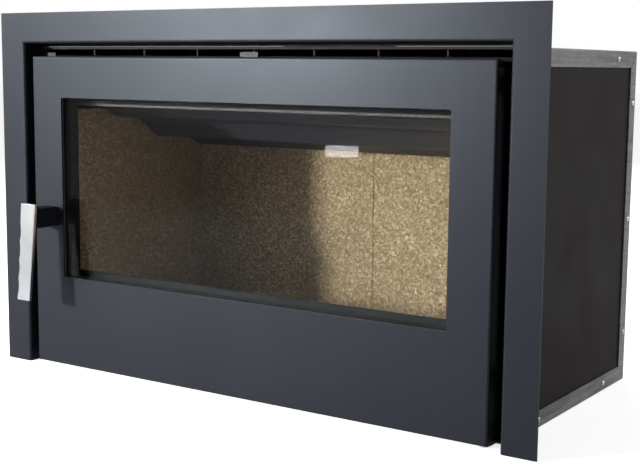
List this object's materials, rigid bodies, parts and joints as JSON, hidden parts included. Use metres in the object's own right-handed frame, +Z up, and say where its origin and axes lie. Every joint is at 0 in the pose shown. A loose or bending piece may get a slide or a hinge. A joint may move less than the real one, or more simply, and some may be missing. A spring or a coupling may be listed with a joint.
{
  "type": "fireplace insert",
  "caption": "Built-in wood-burning fireplace insert with a glazed steel door, steel handle, dark trim frame and galvanised convection casing.",
  "frame": {"origin": "centre of the casing's flat underside", "axes": "+X to the right as seen from the room, across the long front; +Y back into the chimney breast; +Z up towards the flue collar"},
  "size_m": [0.8, 0.4432, 0.484],
  "materials": {
    "painted_trim": "satin heat-proof paint",
    "painted_door": "satin heat-proof paint",
    "galvanised": "galvanised, dull",
    "black_panel": "matt black paint",
    "rivet_steel": "bright zinc plate",
    "black_steel": "matt heat-proof paint",
    "baffle_steel": "mill scale, matt",
    "fire_board": "pressed mineral board, rough",
    "window_glass": "clear, polished",
    "fibre_seal": "woven glass fibre",
    "stainless": "satin brushed",
    "plated_steel": "grey zinc plate"
  },
  "bodies": {
    "casing": {"air_wash_deflector": "galvanised", "baffle": "baffle_steel", "casing_back": "galvanised", "casing_bottom": "galvanised", "casing_side_left": "black_panel", "casing_side_right": "black_panel", "casing_top": "galvanised", "convection_fin_1": "galvanised", "convection_fin_2": "galvanised", "convection_fin_3": "galvanised", "convection_fin_4": "galvanised", "convection_fin_5": "galvanised", "convection_fin_6": "galvanised", "convection_fin_7": "galvanised", "firebox_front_frame": "black_steel", "firebox_shell": "black_steel", "flue_collar": "black_steel", "hinge_bracket_lower": "plated_steel", "hinge_bracket_upper": "plated_steel", "hinge_pin_lower": "rivet_steel", "hinge_pin_upper": "rivet_steel", "latch_keeper": "plated_steel", "lining_board_back_left": "fire_board", "lining_board_back_right": "fire_board", "lining_board_floor": "fire_board", "lining_board_left": "fire_board", "lining_board_right": "fire_board", "rivet_left_bottom_front": "rivet_steel", "rivet_left_bottom_rear": "rivet_steel", "rivet_left_rear_lower": "rivet_steel", "rivet_left_rear_middle": "rivet_steel", "rivet_left_rear_upper": "rivet_steel", "rivet_left_top": "rivet_steel", "rivet_right_bottom_front": "rivet_steel", "rivet_right_bottom_rear": "rivet_steel", "rivet_right_rear_lower": "rivet_steel", "rivet_right_rear_middle": "rivet_steel", "rivet_right_rear_upper": "rivet_steel", "rivet_right_top": "rivet_steel", "support_rail_left": "black_steel", "support_rail_right": "black_steel", "trim_bracket_left_lower": "galvanised", "trim_bracket_left_upper": "galvanised", "trim_bracket_right_lower": "galvanised", "trim_bracket_right_upper": "galvanised", "trim_frame": "painted_trim"},
    "door": {"door_shell": "painted_door", "door_glass": "window_glass", "glass_gasket": "fibre_seal", "glass_retainer": "black_steel", "door_inner_panel": "black_steel", "door_rope_seal": "fibre_seal", "hinge_bush_upper": "black_steel", "hinge_bush_lower": "black_steel"},
    "handle": {"handle_stem": "black_steel", "handle_grip": "stainless", "latch_cam": "plated_steel"},
    "air_slider": {"air_slider": "plated_steel"}
  },
  "joints": [
    {"name": "door_swing", "type": "hinge", "parent": "casing", "child": "door", "pos_m": [0.3315, -0.1965, 0.2], "axis": [0, 0, 1], "range_deg": [0, 100]},
    {"name": "handle_turn", "type": "hinge", "parent": "door", "child": "handle", "pos_m": [-0.311, -0.2125, 0.207], "axis": [0, 1, 0], "range_deg": [0, 90]},
    {"name": "air_slide", "type": "slide", "parent": "casing", "child": "air_slider", "axis": [1, 0, 0], "range_m": [0, 0.022]}
  ]
}
